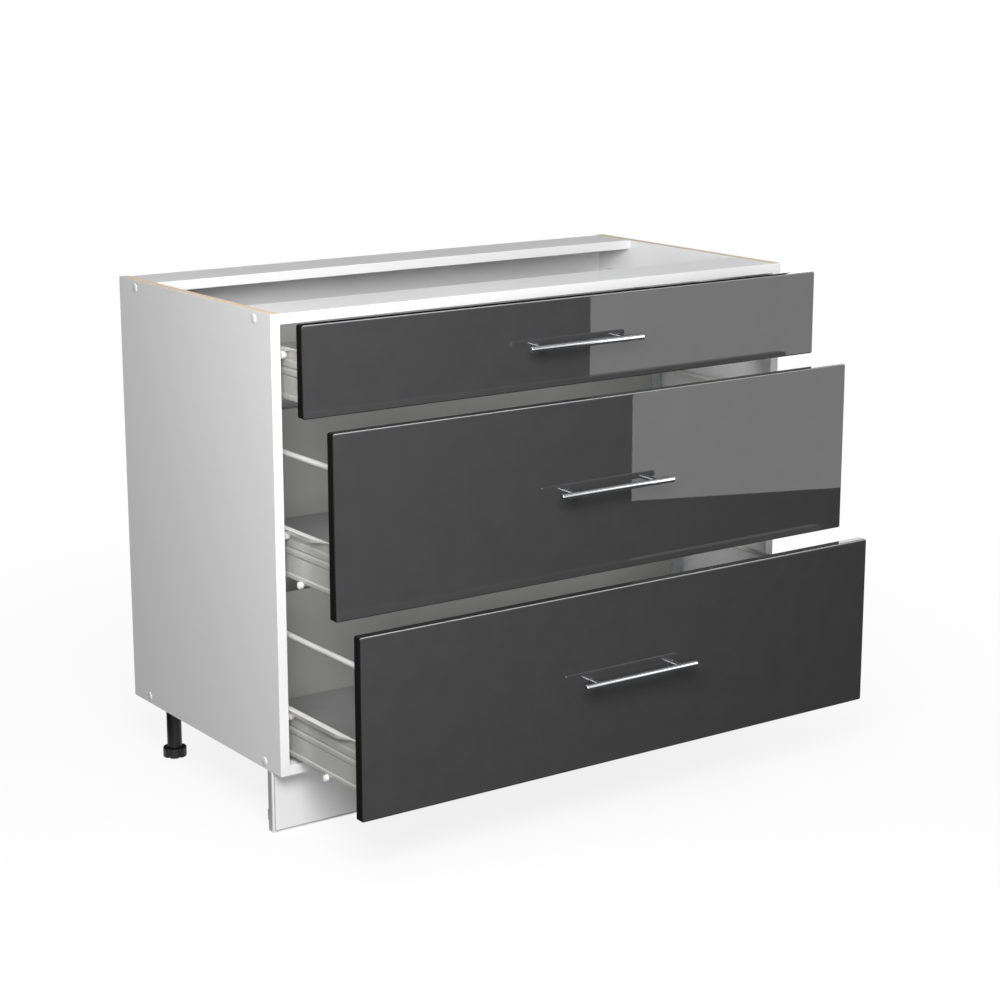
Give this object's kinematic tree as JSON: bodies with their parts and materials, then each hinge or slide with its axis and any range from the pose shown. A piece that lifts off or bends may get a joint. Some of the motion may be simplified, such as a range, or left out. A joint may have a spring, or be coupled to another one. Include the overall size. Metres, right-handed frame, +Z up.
{
  "type": "kitchen base cabinet with drawers",
  "caption": "Kitchen base cabinet with a shallow drawer over two deep pull-outs on roller runners, bar handles, plinth board and adjustable legs.",
  "frame": {"origin": "on the floor, in the middle of the cabinet's width, in line with the front edge of the carcass", "axes": "+X to the right as seen from the front, +Y to the back, +Z up"},
  "size_m": [1.0032, 0.766, 0.82],
  "materials": {
    "melamine": "white melamine-faced chipboard, satin, raw chipboard on the top edges of the sides",
    "back_board": "white lacquered thin fibreboard",
    "front_gloss": "anthracite high-gloss lacquered board",
    "chrome": "polished",
    "screw_steel": "zinc plated",
    "drawer_steel": "light grey powder coat",
    "rail_steel": "light grey powder coat",
    "rod_steel": "pale grey coated tube",
    "white_nylon": "moulded nylon",
    "cap_plastic": "moulded, white",
    "black_plastic": "moulded, black",
    "dowel_beech": "ribbed beech",
    "drawer_board": "pale grey melamine-faced chipboard"
  },
  "bodies": {
    "root": {"side_panel_left": "melamine", "side_panel_right": "melamine", "bottom_panel": "melamine", "front_rail": "melamine", "rear_rail": "melamine", "back_panel": "back_board", "plinth_board": "melamine", "plinth_clips": "white_nylon", "leg_sockets": "black_plastic", "leg_tubes": "black_plastic", "cover_caps": "cap_plastic", "panel_screws": "screw_steel", "wooden_dowels": "dowel_beech", "cabinet_rail_left_top": "rail_steel", "cabinet_rail_right_top": "rail_steel", "cabinet_rail_left_middle": "rail_steel", "cabinet_rail_right_middle": "rail_steel", "cabinet_rail_left_bottom": "rail_steel", "cabinet_rail_right_bottom": "rail_steel"},
    "foot_front_left": {"leg_foot_front_left": "black_plastic"},
    "foot_front_right": {"leg_foot_front_right": "black_plastic"},
    "foot_rear_left": {"leg_foot_rear_left": "black_plastic"},
    "foot_rear_right": {"leg_foot_rear_right": "black_plastic"},
    "drawer_top": {"front_top": "front_gloss", "handle_bar_top": "chrome", "handle_posts_top": "chrome", "drawer_side_left_top": "drawer_steel", "drawer_side_right_top": "drawer_steel", "drawer_bottom_top": "drawer_board", "drawer_back_top": "drawer_board", "drawer_brackets_top": "drawer_steel", "support_pegs_top": "white_nylon"},
    "front_rollers_top": {"front_rollers_top": "white_nylon"},
    "rear_rollers_top": {"rear_rollers_top": "white_nylon"},
    "drawer_middle": {"front_middle": "front_gloss", "handle_bar_middle": "chrome", "handle_posts_middle": "chrome", "drawer_side_left_middle": "drawer_steel", "drawer_side_right_middle": "drawer_steel", "drawer_bottom_middle": "drawer_board", "drawer_back_middle": "drawer_board", "drawer_brackets_middle": "drawer_steel", "support_pegs_middle": "white_nylon", "gallery_rods_middle": "rod_steel", "rod_cups_middle": "white_nylon"},
    "front_rollers_middle": {"front_rollers_middle": "white_nylon"},
    "rear_rollers_middle": {"rear_rollers_middle": "white_nylon"},
    "drawer_bottom": {"front_bottom": "front_gloss", "handle_bar_bottom": "chrome", "handle_posts_bottom": "chrome", "drawer_side_left_bottom": "drawer_steel", "drawer_side_right_bottom": "drawer_steel", "drawer_bottom_bottom": "drawer_board", "drawer_back_bottom": "drawer_board", "drawer_brackets_bottom": "drawer_steel", "support_pegs_bottom": "white_nylon", "gallery_rods_bottom": "rod_steel", "rod_cups_bottom": "white_nylon"},
    "front_rollers_bottom": {"front_rollers_bottom": "white_nylon"},
    "rear_rollers_bottom": {"rear_rollers_bottom": "white_nylon"}
  },
  "joints": [
    {"name": "drawer_top_slide", "type": "slide", "parent": "root", "child": "drawer_top", "axis": [0, -1, 0], "range_m": [-0.07, 0.27]},
    {"name": "drawer_middle_slide", "type": "slide", "parent": "root", "child": "drawer_middle", "axis": [0, -1, 0], "range_m": [-0.152, 0.188]},
    {"name": "drawer_bottom_slide", "type": "slide", "parent": "root", "child": "drawer_bottom", "axis": [0, -1, 0], "range_m": [-0.217, 0.123]},
    {"name": "front_rollers_top_spin", "type": "hinge", "parent": "root", "child": "front_rollers_top", "pos_m": [0, 0.01, 0.7583], "axis": [1, 0, 0], "continuous": true},
    {"name": "rear_rollers_top_spin", "type": "hinge", "parent": "drawer_top", "child": "rear_rollers_top", "pos_m": [0, 0.366, 0.7531], "axis": [1, 0, 0], "continuous": true},
    {"name": "front_rollers_middle_spin", "type": "hinge", "parent": "root", "child": "front_rollers_middle", "pos_m": [0, 0.01, 0.4818], "axis": [1, 0, 0], "continuous": true},
    {"name": "rear_rollers_middle_spin", "type": "hinge", "parent": "drawer_middle", "child": "rear_rollers_middle", "pos_m": [0, 0.284, 0.4766], "axis": [1, 0, 0], "continuous": true},
    {"name": "front_rollers_bottom_spin", "type": "hinge", "parent": "root", "child": "front_rollers_bottom", "pos_m": [0, 0.01, 0.1943], "axis": [1, 0, 0], "continuous": true},
    {"name": "rear_rollers_bottom_spin", "type": "hinge", "parent": "drawer_bottom", "child": "rear_rollers_bottom", "pos_m": [0, 0.219, 0.1891], "axis": [1, 0, 0], "continuous": true},
    {"name": "leg_foot_front_left_height", "type": "slide", "parent": "root", "child": "foot_front_left", "axis": [0, 0, -1], "range_m": [0, 0.02]},
    {"name": "leg_foot_front_right_height", "type": "slide", "parent": "root", "child": "foot_front_right", "axis": [0, 0, -1], "range_m": [0, 0.02]},
    {"name": "leg_foot_rear_left_height", "type": "slide", "parent": "root", "child": "foot_rear_left", "axis": [0, 0, -1], "range_m": [0, 0.02]},
    {"name": "leg_foot_rear_right_height", "type": "slide", "parent": "root", "child": "foot_rear_right", "axis": [0, 0, -1], "range_m": [0, 0.02]}
  ],
  "couplings": [
    {"joint": "front_rollers_top_spin", "follows": "drawer_top_slide", "rad_per_m": 125},
    {"joint": "rear_rollers_top_spin", "follows": "drawer_top_slide", "rad_per_m": 133.33},
    {"joint": "front_rollers_middle_spin", "follows": "drawer_middle_slide", "rad_per_m": 125},
    {"joint": "rear_rollers_middle_spin", "follows": "drawer_middle_slide", "rad_per_m": 133.33},
    {"joint": "front_rollers_bottom_spin", "follows": "drawer_bottom_slide", "rad_per_m": 125},
    {"joint": "rear_rollers_bottom_spin", "follows": "drawer_bottom_slide", "rad_per_m": 133.33}
  ]
}
